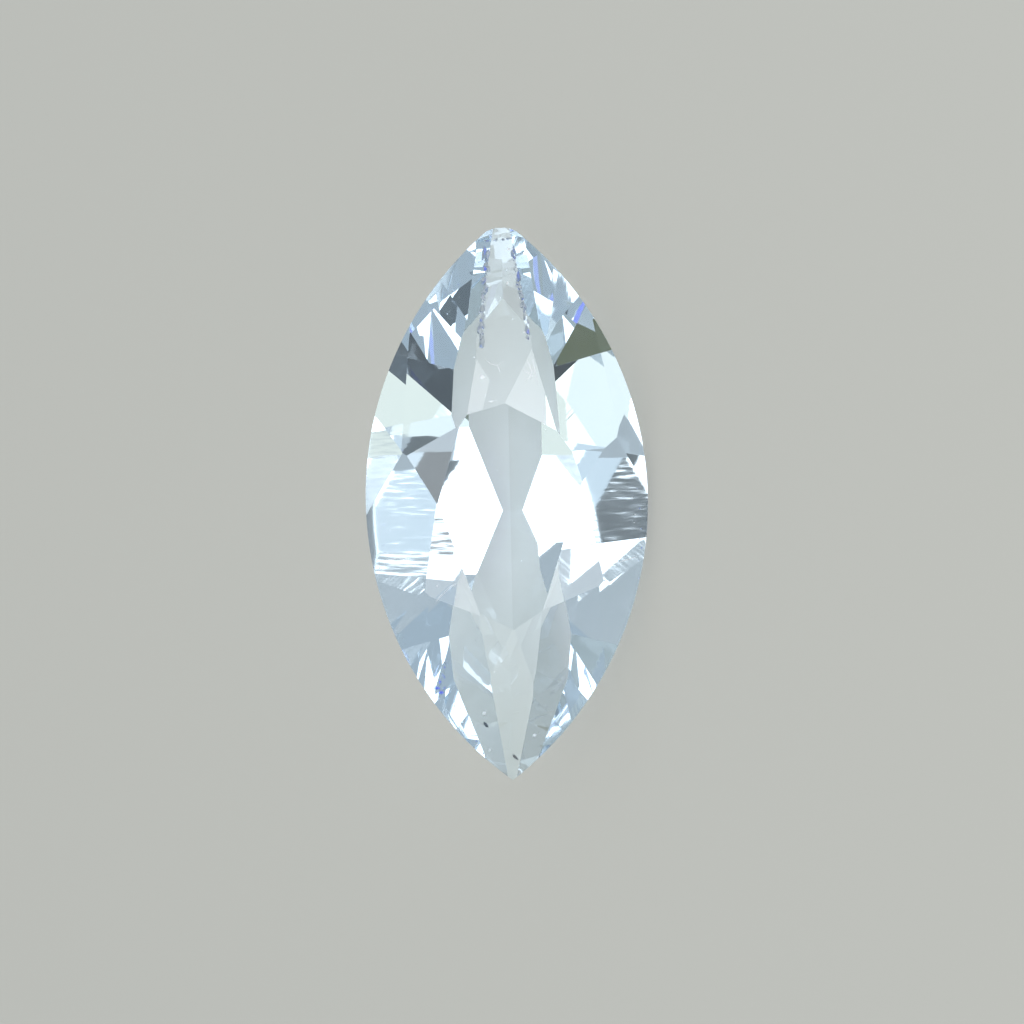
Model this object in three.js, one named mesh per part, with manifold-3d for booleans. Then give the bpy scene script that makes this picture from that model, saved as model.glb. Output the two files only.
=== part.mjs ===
// A cut and polished topaz: one marquise stone, pointed at both ends, 10 x 5.1 mm.
// It is one natural piece, so it is one closed solid. Every facet is a flat lap cut into a
// girdle-shaped blank, at a compass direction, a slope and a reach, as a cutting diagram gives them.
// Millimetres, +Z up. The stone lies as it rests on a table: on its right side main facet,
// with its long axis along X, its upper tip at +X and its table facet leaning towards -Y.

import * as THREE from 'three';
import { ConvexGeometry } from 'three/addons/geometries/ConvexGeometry.js';
import { mergeVertices } from 'three/addons/utils/BufferGeometryUtils.js';
import Module from 'manifold-3d';

// Outline of the girdle, seen from above: two arcs that meet in two tips.
const FULL_LENGTH = 10.15;   // tip to tip before the upper tip was blunted
const BLUNTED = 0.15;        // length lost at the upper tip
const WIDTH = 5.11;
const ARC_STEPS = 28;        // straight strips in each side of the girdle

// Heights, from the middle of the girdle.
const GIRDLE = 0.1;          // thickness of the girdle band
const CROWN = 0.8;           // girdle's upper edge to the table
const PAVILION = 2.3;        // more than the keel's depth, for the blank

const SAME_CORNER = 0.012;   // corners closer than this are ground as one

const COLOUR = 0xd3e5f2;

const halfLength = FULL_LENGTH / 2;
const halfWidth = WIDTH / 2;
const arcRadius = (halfLength ** 2 + halfWidth ** 2) / WIDTH;
const arcOffset = arcRadius - halfWidth;
const edge = GIRDLE / 2;

// Distance from the centre to the girdle in a compass direction, square to that direction.
// Directions are in degrees: 0 is the right side, 90 the upper tip, 180 the left side.
function girdleReach(direction) {
  const a = THREE.MathUtils.degToRad(direction);
  const reach = arcRadius - arcOffset * Math.abs(Math.cos(a));
  const tip = halfLength * Math.abs(Math.sin(a));
  const tipDirection = Math.asin(halfLength / arcRadius);
  return Math.asin(Math.abs(Math.sin(a))) < tipDirection ? reach : tip;
}

// Facets are [direction, slope] or [direction, slope, reach]. A facet's plane crosses the edge of
// the girdle at its reach; with no reach given it is tangent to the girdle there.
const CROWN_FACETS = [
  // main facets, from the upper tip round by the right side
  [87, 13.5], [37.4, 24.4], [-6.3, 32.7], [-32.8, 27.2],
  [-89.8, 16.3], [-147.2, 26.6], [189.6, 30.4], [145, 24.9],
  // star facets round the table, in the same order
  [61, 12.3, 5.19], [17.4, 21.1, 3.47], [-18.4, 21.2, 3.27], [-57.5, 16, 4.81],
  [-117.7, 14.6, 5.12], [-160.1, 21.2, 3.25], [162.9, 16, 3.97], [105.4, 11.6, 5.57],
  // upper girdle facets on the right side, then on the left
  [44, 22.7], [36, 23.9], [28.7, 32.4], [6.9, 44.5], [-13.8, 36], [-27, 31], [-36.6, 27.4], [-47, 26.8],
  [-134, 25.7], [-144, 26.5], [-152.3, 29], [-164, 32.3], [175.7, 40], [153.4, 31.3], [145, 24.1], [136, 23],
];

const REST_SLOPE = 39.3;     // slope of the right side main, which the stone lies on

const PAVILION_FACETS = [
  // side mains; the one on the right starts lower down, so the girdle is thicker there
  [0, REST_SLOPE, 2.7], [180, REST_SLOPE, 2.5],
  // end mains, two at each end, on either side of the keel
  [88, 17, 6.3], [92, 17, 6.3], [-88, 19.5, 5.8], [-92, 19.5, 5.8],
  // small facets beside the end mains
  [60, 32.5], [120, 32.5], [-60, 28], [-120, 28],
  // lower girdle facets
  ...[1, -1].flatMap((way) => [
    [way * 20, 41.5], [way * 30, 42], [way * 41, 41],
    [180 - way * 20, 41.5], [180 - way * 30, 42], [180 - way * 41, 41],
  ]),
];

// Upright cuts that round off the blunted tip: [direction, reach]
const TIP_CUTS = [[90, FULL_LENGTH / 2 - BLUNTED], [70, 4.665], [110, 4.665]];

const wasm = await Module();
wasm.setup();

// A closed three.js geometry as a solid for joining and cutting.
function solid(geometry) {
  const bare = geometry.clone();
  bare.deleteAttribute('normal');
  bare.deleteAttribute('uv');
  const merged = mergeVertices(bare.index ? bare.toNonIndexed() : bare, 1e-5);
  return new wasm.Manifold(new wasm.Mesh({
    numProp: 3,
    vertProperties: new Float32Array(merged.attributes.position.array),
    triVerts: new Uint32Array(merged.index.array),
  }));
}

// The blank: the girdle outline, drawn up to the table and down past the keel.
function blank() {
  const shape = new THREE.Shape();
  const tip = Math.asin(halfLength / arcRadius);
  shape.absarc(-arcOffset, 0, arcRadius, -tip, tip, false);
  shape.absarc(arcOffset, 0, arcRadius, Math.PI - tip, Math.PI + tip, false);
  const geometry = new THREE.ExtrudeGeometry(shape, {
    depth: edge + CROWN + edge + PAVILION, bevelEnabled: false, curveSegments: ARC_STEPS,
  });
  geometry.translate(0, 0, -edge - PAVILION);
  return solid(geometry);
}

// What the lap grinds away for one facet: a block whose lower face is the facet's plane.
function lap([direction, slope, reach = girdleReach(direction)], up) {
  const size = 4 * FULL_LENGTH;
  const block = new THREE.BoxGeometry(size, size, size);
  block.translate(0, 0, size / 2);
  const turn = new THREE.Object3D();
  const a = THREE.MathUtils.degToRad(direction);
  const s = THREE.MathUtils.degToRad(slope);
  const normal = new THREE.Vector3(
    Math.sin(s) * Math.cos(a), Math.sin(s) * Math.sin(a), up ? Math.cos(s) : -Math.cos(s),
  );
  turn.quaternion.setFromUnitVectors(new THREE.Vector3(0, 0, 1), normal);
  turn.position.set(reach * Math.cos(a), reach * Math.sin(a), up ? edge : -edge);
  turn.updateMatrix();
  block.applyMatrix4(turn.matrix);
  return solid(block);
}

let stone = blank();
for (const facet of CROWN_FACETS) stone = stone.subtract(lap(facet, true));
for (const facet of PAVILION_FACETS) stone = stone.subtract(lap(facet, false));
for (const [direction, reach] of TIP_CUTS) {
  const block = new THREE.BoxGeometry(2, WIDTH * 2, WIDTH * 3).translate(reach + 1, 0, 0);
  stone = stone.subtract(solid(block.rotateZ(THREE.MathUtils.degToRad(direction))));
}

// The cut stone is convex, so its corners say all of its shape. Corners that nearly touch, where
// three or more facets almost meet at one point, become one corner.
function corners(manifold) {
  const points = manifold.getMesh().vertProperties;
  const kept = [];
  for (let i = 0; i < points.length; i += 3) {
    const point = new THREE.Vector3(points[i], points[i + 1], points[i + 2]);
    if (!kept.some((other) => other.distanceTo(point) < SAME_CORNER)) kept.push(point);
  }
  return kept;
}

let geometry = new ConvexGeometry(corners(stone));

// Long axis to X, then roll the stone on to its right side main facet and stand it on z = 0.
geometry.rotateZ(-Math.PI / 2);
geometry.rotateX(THREE.MathUtils.degToRad(REST_SLOPE));
geometry.computeBoundingBox();
const box = geometry.boundingBox;
geometry.translate(-(box.min.x + box.max.x) / 2, -(box.min.y + box.max.y) / 2, -box.min.z);
geometry.computeVertexNormals();

const topaz = new THREE.Mesh(geometry, new THREE.MeshStandardMaterial({
  color: COLOUR, roughness: 0.04, metalness: 0,
}));
topaz.name = 'topaz';

const group = new THREE.Group();
group.add(topaz);

export default group;
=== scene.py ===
import math
import random

import bmesh
import bpy
import numpy as np
from mathutils import Matrix, Vector
from mathutils.bvhtree import BVHTree


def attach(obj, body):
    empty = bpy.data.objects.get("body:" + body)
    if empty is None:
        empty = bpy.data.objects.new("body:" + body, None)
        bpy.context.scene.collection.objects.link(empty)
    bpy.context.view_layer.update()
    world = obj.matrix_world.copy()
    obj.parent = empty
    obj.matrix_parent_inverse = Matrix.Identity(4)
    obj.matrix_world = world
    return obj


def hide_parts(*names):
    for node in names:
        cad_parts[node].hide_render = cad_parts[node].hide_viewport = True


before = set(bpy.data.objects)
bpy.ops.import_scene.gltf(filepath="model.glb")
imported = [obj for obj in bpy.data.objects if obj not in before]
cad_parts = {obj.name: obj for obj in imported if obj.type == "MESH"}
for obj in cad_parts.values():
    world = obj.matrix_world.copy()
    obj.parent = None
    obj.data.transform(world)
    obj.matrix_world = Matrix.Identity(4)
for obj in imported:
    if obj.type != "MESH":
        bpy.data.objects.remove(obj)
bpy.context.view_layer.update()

MM = 0.001
SCENE = bpy.context.scene
random.seed(7)

# The stone lies on a side facet, so its table faces up and towards -Y. These three directions are
# the stone's own: out of the table, across the stone, and along it to the blunted tip.
LEAN = math.radians(39.3)
FACING = Vector((0, -math.sin(LEAN), math.cos(LEAN)))
ACROSS = Vector((0, -math.cos(LEAN), -math.sin(LEAN)))
ALONG = Vector((1, 0, 0))

# The photo is 1024 px wide and shows 18.62 mm. The middle of the stone's outline is a little off
# the picture's middle, and the stone is turned by 1.25 degrees.
PICTURE = 1024
MIDDLE = (PICTURE - 1) / 2
FIELD = 18.62 * MM
PIXEL = FIELD / PICTURE
SHIFT_RIGHT = 0.093 * MM
SHIFT_UP = -0.145 * MM
ROLL = math.radians(1.25)


def middle_of_outline():
    """The middle of the stone's outline as seen from straight above the table."""
    points = np.array([v.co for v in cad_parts["topaz"].data.vertices], float)
    centre = Vector((0, 0, 0))
    for axis in (ACROSS, ALONG, FACING):
        along = points @ np.array(axis)
        centre += axis * (along.min() + along.max()) / 2
    return centre


CENTRE = middle_of_outline()


def aim(polar, compass):
    """A direction that leaves the table at this many degrees off its normal.

    The compass is in degrees too: 0 is the right side of the stone and 90 its blunted tip.
    """
    p, c = math.radians(polar), math.radians(compass)
    sideways = ACROSS * math.cos(c) + ALONG * math.sin(c)
    return FACING * math.cos(p) + sideways * math.sin(p)


def square_to(way, up):
    """Two directions square to a given one and to each other: sideways, and as near up as can be."""
    y = (up - way * up.dot(way)).normalized()
    return y.cross(way), y


def from_picture(x, y):
    """The plan position, out from the middle of the outline, of a spot in the 1024 px picture."""
    right = (x - MIDDLE) * PIXEL + SHIFT_RIGHT
    up = (MIDDLE - y) * PIXEL + SHIFT_UP
    across = right * math.cos(ROLL) + up * math.sin(ROLL)
    along = up * math.cos(ROLL) - right * math.sin(ROLL)
    return CENTRE + ACROSS * across + ALONG * along


# Materials

# How strongly topaz bends light, its tint at each surface, and its tint inside
IOR = 1.615
SURFACE_TINT = (0.84, 0.93, 0.98)
BODY_TINT = (0.34, 0.66, 0.93)
TINT_DENSITY = 38.0

# The lap lines are much longer than they are wide.
LINES_PER_M = 18000.0
LINE_WIDTH_TO_LENGTH = 0.06
LINE_DETAIL = 3.0


def new_material(name):
    material = bpy.data.materials.new(name)
    material.use_nodes = True
    nodes = material.node_tree.nodes
    return material, nodes, material.node_tree.links, nodes["Principled BSDF"]


def polish_lines(nodes, links):
    """Fine parallel lines left by the lap, as a small sideways lean of the surface.

    They run across the stone, so they lean it along its length. The face attribute says how
    strong they are on each facet.
    """
    where = nodes.new("ShaderNodeTexCoord")
    stretch = nodes.new("ShaderNodeMapping")
    lengthwise = LINE_WIDTH_TO_LENGTH * LINES_PER_M
    stretch.inputs["Scale"].default_value = (LINES_PER_M, lengthwise, lengthwise)
    links.new(where.outputs["Object"], stretch.inputs["Vector"])
    lines = nodes.new("ShaderNodeTexNoise")
    lines.inputs["Scale"].default_value = 1.0
    lines.inputs["Detail"].default_value = LINE_DETAIL
    links.new(stretch.outputs["Vector"], lines.inputs["Vector"])
    centred = nodes.new("ShaderNodeMath")
    centred.operation = "SUBTRACT"
    centred.inputs[1].default_value = 0.5
    links.new(lines.outputs["Fac"], centred.inputs[0])
    strength = nodes.new("ShaderNodeAttribute")
    strength.attribute_name = "polish"
    amount = nodes.new("ShaderNodeMath")
    amount.operation = "MULTIPLY"
    links.new(centred.outputs["Value"], amount.inputs[0])
    links.new(strength.outputs["Fac"], amount.inputs[1])
    lean = nodes.new("ShaderNodeCombineXYZ")
    links.new(amount.outputs["Value"], lean.inputs["X"])
    geometry = nodes.new("ShaderNodeNewGeometry")
    tilted = nodes.new("ShaderNodeVectorMath")
    tilted.operation = "ADD"
    links.new(geometry.outputs["Normal"], tilted.inputs[0])
    links.new(lean.outputs["Vector"], tilted.inputs[1])
    unit = nodes.new("ShaderNodeVectorMath")
    unit.operation = "NORMALIZE"
    links.new(tilted.outputs["Vector"], unit.inputs[0])
    return unit.outputs["Vector"]


def crystal(name, roughness):
    """Clear topaz with lap lines, more or less rough at its surface."""
    material, nodes, links, shader = new_material(name)
    shader.inputs["Base Color"].default_value = (*SURFACE_TINT, 1)
    shader.inputs["Transmission Weight"].default_value = 1.0
    shader.inputs["IOR"].default_value = IOR
    shader.inputs["Roughness"].default_value = roughness
    links.new(polish_lines(nodes, links), shader.inputs["Normal"])
    absorb = nodes.new("ShaderNodeVolumeAbsorption")
    absorb.inputs["Color"].default_value = (*BODY_TINT, 1)
    absorb.inputs["Density"].default_value = TINT_DENSITY
    links.new(absorb.outputs["Volume"], nodes["Material Output"].inputs["Volume"])
    return material


def flaw(name, colour, roughness, transmission):
    """A bruise or a speck, which light does not pass straight through."""
    material, _, _, shader = new_material(name)
    shader.inputs["Base Color"].default_value = (*colour, 1)
    shader.inputs["Roughness"].default_value = roughness
    shader.inputs["Transmission Weight"].default_value = transmission
    return material


polished = crystal("topaz_polished", roughness=0.0)
lapped = crystal("topaz_lapped", roughness=0.045)
ground = crystal("topaz_ground", roughness=0.35)
chipped = crystal("topaz_chipped", roughness=0.22)
bruise = flaw("topaz_bruise", (0.93, 0.96, 1.0), roughness=0.5, transmission=0.35)
speck = flaw("topaz_speck", (0.05, 0.07, 0.10), roughness=0.4, transmission=0.0)

STONE_MATERIALS = (polished, ground, chipped, lapped)
POLISHED, GROUND, CHIPPED, LAPPED = range(4)
FLAW_MATERIALS = (bruise, speck)
SPECK = 1

# The whole stone, before it is chipped

SAME_CORNER = 0.002 * MM
ONE_FACET = math.radians(0.6)
SHARP = math.radians(5)
WORN_EDGE = 0.008 * MM

# Facets are told apart by how far their normals lie along two of the stone's directions.
GIRDLE_FACING = 0.02
BACK_FACING = -0.5
SIDE_MAIN_ALONG = 0.01

# How far the lap lines lean the surface: on the two large side facets of the back, and the most on
# any other facet
SIDE_POLISH = 0.028
OTHER_POLISH = 0.006


def new_mesh(name, bm, materials):
    """A mesh made from a bmesh, which is then freed."""
    mesh = bpy.data.meshes.new(name)
    bm.to_mesh(mesh)
    bm.free()
    for material in materials:
        mesh.materials.append(material)
    return mesh


def is_girdle(face):
    return abs(face.normal.dot(FACING)) < GIRDLE_FACING


def is_side_main(face):
    return face.normal.dot(FACING) < BACK_FACING and abs(face.normal.x) < SIDE_MAIN_ALONG


def whole_stone():
    """The CAD solid with one face for each facet and slightly worn edges, and its surface's tree."""
    bm = bmesh.new()
    bm.from_mesh(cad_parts["topaz"].data)
    bmesh.ops.remove_doubles(bm, verts=bm.verts, dist=SAME_CORNER)
    bmesh.ops.dissolve_limit(bm, angle_limit=ONE_FACET, verts=bm.verts, edges=bm.edges)
    bmesh.ops.recalc_face_normals(bm, faces=bm.faces)
    polish = bm.faces.layers.float.new("polish")
    for face in bm.faces:
        face.smooth = False
        if is_side_main(face):
            face.material_index = LAPPED
            face[polish] = SIDE_POLISH
        else:
            face.material_index = GROUND if is_girdle(face) else POLISHED
            face[polish] = random.uniform(0.0, OTHER_POLISH)
    sharp = [edge for edge in bm.edges if edge.calc_face_angle(0.0) > SHARP]
    bmesh.ops.bevel(bm, geom=sharp, offset=WORN_EDGE, segments=1, affect="EDGES",
                    offset_type="OFFSET", clamp_overlap=True, material=-1)
    tree = BVHTree.FromBMesh(bm)
    return new_mesh("whole", bm, STONE_MATERIALS), tree


whole, surface = whole_stone()

START_HEIGHT = 5.0           # mm, well clear of the table


def on_top(x, y):
    """The point on the stone's upper surface, and its normal, at a spot in the picture."""
    start = from_picture(x, y) + FACING * START_HEIGHT * MM
    point, normal, _, _ = surface.ray_cast(start, -FACING)
    return point, normal


# Grains: small rough lumps, used for chips, pits and what is sealed inside

GRAIN_AXIS = Vector((0.3, 0.5, 0.8)).normalized()
GRAIN_UNEVEN = (0.7, 1.15)   # of its size, at each corner


def grain(target, centre, size, squash=1.0, normal=None, stretch=None):
    """Add one small rough grain, a closed low polyhedron, to a bmesh.

    It can be squashed along a normal, and drawn out along a second vector by that vector's length.
    """
    made = bmesh.ops.create_icosphere(target, subdivisions=1, radius=size)["verts"]
    turn = Matrix.Rotation(random.uniform(0, math.tau), 3, GRAIN_AXIS)
    for vert in made:
        co = turn @ vert.co * random.uniform(*GRAIN_UNEVEN)
        if normal is not None:
            co -= normal * co.dot(normal) * (1 - squash)
        if stretch is not None:
            way = stretch.normalized()
            co += way * co.dot(way) * (stretch.length - 1)
        vert.co = co + centre


# Chips

# Chips along the two edges of the long facet at the blunted tip, with a few at other corners:
# two ends in the picture, how many, and the largest size in mm.
CHIPPED_EDGES = [
    ((487, 250), (480, 344), 38, 0.075),
    ((511, 246), (528, 341), 34, 0.065),
    ((484, 242), (520, 238), 7, 0.040),
    ((511, 779), (515, 781), 4, 0.060),
    ((636, 452), (641, 520), 5, 0.022),
    ((641, 520), (636, 586), 5, 0.022),
    ((376, 470), (372, 560), 4, 0.020),
    ((452, 697), (486, 756), 4, 0.022),
    ((480, 617), (513, 633), 3, 0.014),
]
CHIP_SCATTER = 1.2           # px to either side of the edge
CHIP_SMALLEST = 0.25         # of the largest
CHIP_MOSTLY_SMALL = 1.5      # a higher power makes more of them small
CHIP_DRAWN_OUT = (0.9, 2.4)  # along the edge
CHIP_LIFT = 0.35             # of its size, out of the surface


def chip_grains():
    """All that is chipped off the stone, as one mesh of grains."""
    cutters = bmesh.new()
    for start, end, count, largest in CHIPPED_EDGES:
        edge = from_picture(*end) - from_picture(*start)
        for i in range(count):
            t = (i + random.uniform(0, 1)) / count
            x = start[0] + (end[0] - start[0]) * t + random.gauss(0, CHIP_SCATTER)
            y = start[1] + (end[1] - start[1]) * t
            point, normal = on_top(x, y)
            if point is None:
                continue
            share = CHIP_SMALLEST + (1 - CHIP_SMALLEST) * random.random() ** CHIP_MOSTLY_SMALL
            size = largest * share * MM
            drawn_out = edge.normalized() * random.uniform(*CHIP_DRAWN_OUT)
            grain(cutters, point + normal * size * CHIP_LIFT, size, stretch=drawn_out)
    for face in cutters.faces:
        face.material_index = CHIPPED
    return new_mesh("cutters", cutters, STONE_MATERIALS)


def cut_away(mesh, cutter_mesh, name):
    """The mesh with the cutters taken out of it."""
    cutter = bpy.data.objects.new("cutters", cutter_mesh)
    uncut = bpy.data.objects.new("uncut", mesh)
    for obj in (cutter, uncut):
        SCENE.collection.objects.link(obj)
    cut = uncut.modifiers.new("chips", "BOOLEAN")
    cut.operation = "DIFFERENCE"
    cut.solver = "EXACT"
    cut.use_self = True
    cut.object = cutter
    depsgraph = bpy.context.evaluated_depsgraph_get()
    result = bpy.data.meshes.new_from_object(uncut.evaluated_get(depsgraph))
    result.name = name
    for obj in (cutter, uncut):
        bpy.data.objects.remove(obj)
    return result


def add_piece(name, mesh):
    obj = bpy.data.objects.new(name, mesh)
    SCENE.collection.objects.link(obj)
    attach(obj, "root")
    return obj


stone = add_piece("stone", cut_away(whole, chip_grains(), "stone"))
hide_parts("topaz")
# The pad in the photo shows almost no shadow, and its middle is as bright as the rest.
stone.visible_shadow = False

# Scratches and bruises

# Scratches and hairlines on the crown, as spots in the picture that each one runs through
HAIRS = [
    ((486, 361), (491, 365), (497, 366), (503, 362)),
    ((497, 366), (500, 373)),
    ((526, 361), (531, 371), (529, 384)),
    ((532, 360), (534, 371), (538, 386)),
    ((523, 371), (534, 378)),
    ((524, 383), (530, 376), (537, 372)),
    ((480, 489), (488, 497)),
    ((443, 593), (450, 586), (457, 582)),
    ((436, 600), (444, 592)),
    ((488, 402), (496, 401)),
    ((384, 560), (398, 557), (412, 560)),
    ((604, 566), (622, 560), (636, 556)),
]
HAIR_RADIUS = 0.0075 * MM
HAIR_STEPS = 5               # between two spots
HAIR_SIDES = 5
HAIR_WANDER = 0.15           # px
HAIR_END = 0.35              # of the radius
HAIR_UNEVEN = (0.7, 1.2)
HAIR_HEIGHT = 0.6            # of the width
HAIR_SUNK = 0.25             # of the radius

# Small bruises and dust-like pits: spot in the picture and size in mm
BRUISES = [
    (482, 377, 0.05), (491, 402, 0.022), (474, 358, 0.018), (507, 284, 0.03),
    (508, 250, 0.03), (524, 333, 0.024), (502, 348, 0.012), (517, 411, 0.012),
    (634, 514, 0.014), (633, 522, 0.012), (635, 541, 0.013), (437, 585, 0.016),
    (631, 497, 0.011), (545, 430, 0.011), (455, 596, 0.013), (390, 578, 0.012),
]
BRUISE_SUNK = 0.12           # of its size
BRUISE_FLAT = 0.3


def hair(target, stops):
    """Add one thin closed thread that lies half sunk in the surface, through spots in the picture."""
    points = []
    for (x0, y0), (x1, y1) in zip(stops[:-1], stops[1:]):
        for k in range(HAIR_STEPS):
            points.append((x0 + (x1 - x0) * k / HAIR_STEPS, y0 + (y1 - y0) * k / HAIR_STEPS))
    points.append(stops[-1])
    rings = []
    count = len(points)
    for i, (x, y) in enumerate(points):
        centre, normal = on_top(x + random.gauss(0, HAIR_WANDER), y + random.gauss(0, HAIR_WANDER))
        after = from_picture(*points[min(i + 1, count - 1)])
        before = from_picture(*points[max(i - 1, 0)])
        sideways = normal.cross(after - before).normalized()
        taper = HAIR_END + (1 - HAIR_END) * math.sin(math.pi * (i + 0.5) / count)
        size = HAIR_RADIUS * taper * random.uniform(*HAIR_UNEVEN)
        ring = []
        for k in range(HAIR_SIDES):
            turn = math.tau * k / HAIR_SIDES
            up = math.sin(turn) * HAIR_HEIGHT - HAIR_SUNK
            ring.append(target.verts.new(centre + (sideways * math.cos(turn) + normal * up) * size))
        rings.append(ring)
    for near, far in zip(rings[:-1], rings[1:]):
        for k in range(HAIR_SIDES):
            after = (k + 1) % HAIR_SIDES
            target.faces.new((near[k], near[after], far[after], far[k]))
    target.faces.new(list(reversed(rings[0])))
    target.faces.new(rings[-1])


def scratches():
    marks = bmesh.new()
    for stops in HAIRS:
        hair(marks, stops)
    for x, y, size in BRUISES:
        point, normal = on_top(x, y)
        grain(marks, point - normal * size * BRUISE_SUNK * MM, size * MM, BRUISE_FLAT, normal)
    bmesh.ops.recalc_face_normals(marks, faces=marks.faces)
    return new_mesh("scratches", marks, (bruise,))


add_piece("scratches", scratches())

# Inclusions

# Pale pinpoints sealed inside: spot in the picture, depth and size in mm
PINPOINTS = [
    (500, 300, 0.35, 0.018), (512, 322, 0.5, 0.014), (486, 398, 0.5, 0.014),
    (506, 272, 0.25, 0.016), (519, 300, 0.3, 0.012), (494, 668, 0.4, 0.014),
    (521, 560, 1.1, 0.012), (497, 470, 0.9, 0.010), (478, 742, 0.2, 0.02),
    (485, 711, 0.15, 0.05), (533, 733, 0.12, 0.045), (490, 748, 0.1, 0.03),
]
# Two dark specks at the lower tip: spot in the picture, depth and size in mm, and how far each is
# drawn out
SPECKS = [(515, 755, 0.09, 0.03, 2.6), (487, 722, 0.2, 0.035, 2.0)]


def inclusions():
    sealed = bmesh.new()
    for x, y, depth, size in PINPOINTS:
        point, _ = on_top(x, y)
        grain(sealed, point - FACING * depth * MM, size * MM)
    pale = len(sealed.faces)
    slant = (ACROSS - ALONG).normalized()
    for x, y, depth, size, drawn_out in SPECKS:
        point, _ = on_top(x, y)
        grain(sealed, point - FACING * depth * MM, size * MM, stretch=slant * drawn_out)
    sealed.faces.ensure_lookup_table()
    for face in sealed.faces[pale:]:
        face.material_index = SPECK
    bmesh.ops.recalc_face_normals(sealed, faces=sealed.faces)
    return new_mesh("inclusions", sealed, FLAW_MATERIALS)


add_piece("inclusions", inclusions())

# Floor

# The floor is a little paler right under the stone, where the photo's clear middle shows the pad: a
# painted pool of light that stands in for the light the stone lets through onto the floor.
FLOOR_SIZE = 3.0
FLOOR_DROP = 0.02 * MM
PAD_COLOUR = (0.475, 0.475, 0.445)
# Painted light: the colour, middle, reach and full point of the paler pool painted on the floor under
# the stone
PAINTED_LIGHT_COLOUR = (0.62, 0.59, 0.56)
PAINTED_LIGHT_MIDDLE = (0, 1.2 * MM, 0)
PAINTED_LIGHT_REACH = (4.4 * MM, 2.6 * MM, 1)
PAINTED_LIGHT_FULL = 0.55


def pad_with_painted_light():
    material, nodes, links, shader = new_material("floor")
    where = nodes.new("ShaderNodeTexCoord")
    spot = nodes.new("ShaderNodeMapping")
    spot.vector_type = "TEXTURE"
    spot.inputs["Location"].default_value = PAINTED_LIGHT_MIDDLE
    spot.inputs["Scale"].default_value = PAINTED_LIGHT_REACH
    links.new(where.outputs["Object"], spot.inputs["Vector"])
    fall = nodes.new("ShaderNodeTexGradient")
    fall.gradient_type = "QUADRATIC_SPHERE"
    links.new(spot.outputs["Vector"], fall.inputs["Vector"])
    # Painted light: the pad's own colour brightens towards the middle of the pool under the stone.
    ramp = nodes.new("ShaderNodeValToRGB")
    ramp.color_ramp.elements[0].color = (*PAD_COLOUR, 1)
    ramp.color_ramp.elements[1].color = (*PAINTED_LIGHT_COLOUR, 1)
    ramp.color_ramp.elements[1].position = PAINTED_LIGHT_FULL
    links.new(fall.outputs["Fac"], ramp.inputs["Fac"])
    links.new(ramp.outputs["Color"], shader.inputs["Base Color"])
    shader.inputs["Roughness"].default_value = 0.9
    shader.inputs["Specular IOR Level"].default_value = 0.1
    return material


bpy.ops.mesh.primitive_plane_add(size=FLOOR_SIZE, location=(0, 0, -FLOOR_DROP))
floor = bpy.context.object
floor.name = "floor"
floor.data.materials.append(pad_with_painted_light())

# Light

# The pale room all round, which also lights the floor
ROOM_COLOUR = (0.74, 0.78, 0.80)
ROOM_STRENGTH = 0.72

# Lamps: name, degrees off the table's normal, compass direction, width and height in degrees as
# the stone sees them, watts for each square metre, and colour. The left and right ones light the
# two arrows, and the upper one the facets beside them. The lower ones are weak and a little warm.
LAMP_REACH = 0.3
LAMPS = [
    ("left_box", 26, 167, 54, 28, 6.5, (1, 1, 1)),
    ("right_box", 26, 13, 54, 28, 6.5, (1, 1, 1)),
    ("upper_box", 19.7, 90, 40, 26.6, 5.5, (1, 1, 1)),
    ("lower_right_box", 37, -70, 36, 15, 2.0, (1.0, 1.0, 0.88)),
    ("lower_left_box", 37, -114, 36, 15, 1.75, (1.0, 0.93, 0.66)),
]

# Matt cards: name, the same four angles, colour, and glow. The first two stand for the lens above
# the stone, dark on one side and pale on the other, which the zones at the stone's sides look at.
# The other two darken single facets.
CARD_REACH = 0.28
NEAR_NORMAL = 15             # degrees; nearer than this, a card's upright side runs along the stone
CARDS = [
    ("lens_hood", 5.6, -8.5, 11.4, 14.6, (0.20, 0.21, 0.22), 0.3),
    ("lens_side", 5.6, -171.5, 11.4, 14.6, (0.68, 0.73, 0.78), 0.72),
    ("olive_card", 53, -68, 24, 14, (0.17, 0.18, 0.08), 0.0),
    ("black_card", 64, -105, 36, 22, (0.02, 0.025, 0.03), 0.0),
]


def light_room():
    world = bpy.data.worlds.new("studio")
    SCENE.world = world
    world.use_nodes = True
    background = world.node_tree.nodes["Background"]
    background.inputs["Color"].default_value = (*ROOM_COLOUR, 1)
    background.inputs["Strength"].default_value = ROOM_STRENGTH


def softbox(name, polar, compass, width, height, watts, colour):
    """A rectangular lamp facing the stone, out of the camera's sight."""
    lamp = bpy.data.lights.new(name, "AREA")
    lamp.shape = "RECTANGLE"
    lamp.size = 2 * LAMP_REACH * math.tan(math.radians(width / 2))
    lamp.size_y = 2 * LAMP_REACH * math.tan(math.radians(height / 2))
    lamp.energy = watts * lamp.size * lamp.size_y
    lamp.color = colour
    light = bpy.data.objects.new(name, lamp)
    SCENE.collection.objects.link(light)
    way = aim(polar, compass)
    light.location = CENTRE + way * LAMP_REACH
    x, y = square_to(way, FACING)
    light.rotation_mode = "QUATERNION"
    light.rotation_quaternion = Matrix((x, y, way)).transposed().to_quaternion()
    light.visible_camera = False


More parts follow.
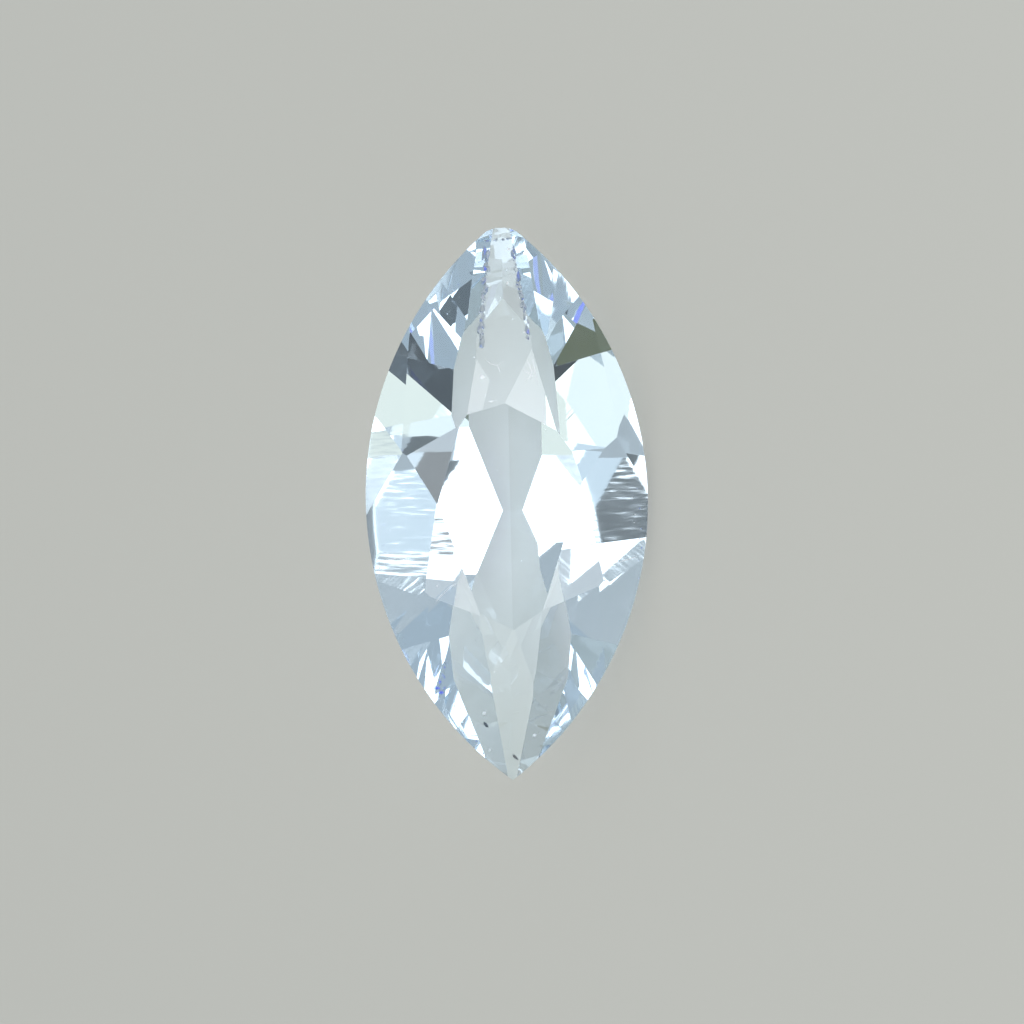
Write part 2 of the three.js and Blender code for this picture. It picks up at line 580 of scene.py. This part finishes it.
def card(name, polar, compass, width, height, colour, glow):
    """A matt card facing the stone, out of the camera's sight."""
    material, _, _, shader = new_material(name)
    shader.inputs["Base Color"].default_value = (*colour, 1)
    shader.inputs["Roughness"].default_value = 1.0
    shader.inputs["Specular IOR Level"].default_value = 0.0
    shader.inputs["Emission Color"].default_value = (*colour, 1)
    shader.inputs["Emission Strength"].default_value = glow
    half_x = CARD_REACH * math.tan(math.radians(width / 2))
    half_y = CARD_REACH * math.tan(math.radians(height / 2))
    way = aim(polar, compass)
    x, y = square_to(way, FACING if polar > NEAR_NORMAL else ALONG)
    middle = CENTRE + way * CARD_REACH
    corners = []
    for i, j in ((-1, -1), (1, -1), (1, 1), (-1, 1)):
        corners.append(tuple(middle + x * half_x * i + y * half_y * j))
    mesh = bpy.data.meshes.new(name)
    mesh.from_pydata(corners, [], [(0, 1, 2, 3)])
    mesh.materials.append(material)
    obj = bpy.data.objects.new(name, mesh)
    SCENE.collection.objects.link(obj)
    obj.visible_camera = False
    obj.visible_shadow = False
    obj.visible_diffuse = False


light_room()
for row in LAMPS:
    softbox(*row)
for row in CARDS:
    card(*row)

# Camera

DISTANCE = 150 * MM
SENSOR = 36.0
CLIP_START = 0.005
CLIP_END = 10.0


def set_camera():
    """Straight above the table, with the stone placed and turned in the picture as in the photo."""
    camera_data = bpy.data.cameras.new("camera")
    camera = bpy.data.objects.new("camera", camera_data)
    SCENE.collection.objects.link(camera)
    SCENE.camera = camera
    camera_data.sensor_width = SENSOR
    camera_data.lens = SENSOR * DISTANCE / FIELD
    camera_data.clip_start = CLIP_START
    camera_data.clip_end = CLIP_END
    picture_up = ALONG * math.cos(ROLL) + ACROSS * math.sin(ROLL)
    picture_right = ACROSS * math.cos(ROLL) - ALONG * math.sin(ROLL)
    target = CENTRE + picture_right * SHIFT_RIGHT + picture_up * SHIFT_UP
    camera.location = target + FACING * DISTANCE
    turn = Matrix((picture_right, picture_up, FACING)).transposed()
    camera.rotation_mode = "QUATERNION"
    camera.rotation_quaternion = turn.to_quaternion()


set_camera()

# Light crosses many facets before it leaves the stone.
SCENE.cycles.max_bounces = 24
SCENE.cycles.glossy_bounces = 20
SCENE.cycles.transmission_bounces = 20
SCENE.cycles.diffuse_bounces = 3
SCENE.cycles.sample_clamp_indirect = 6.0
SCENE.view_settings.view_transform = "Standard"
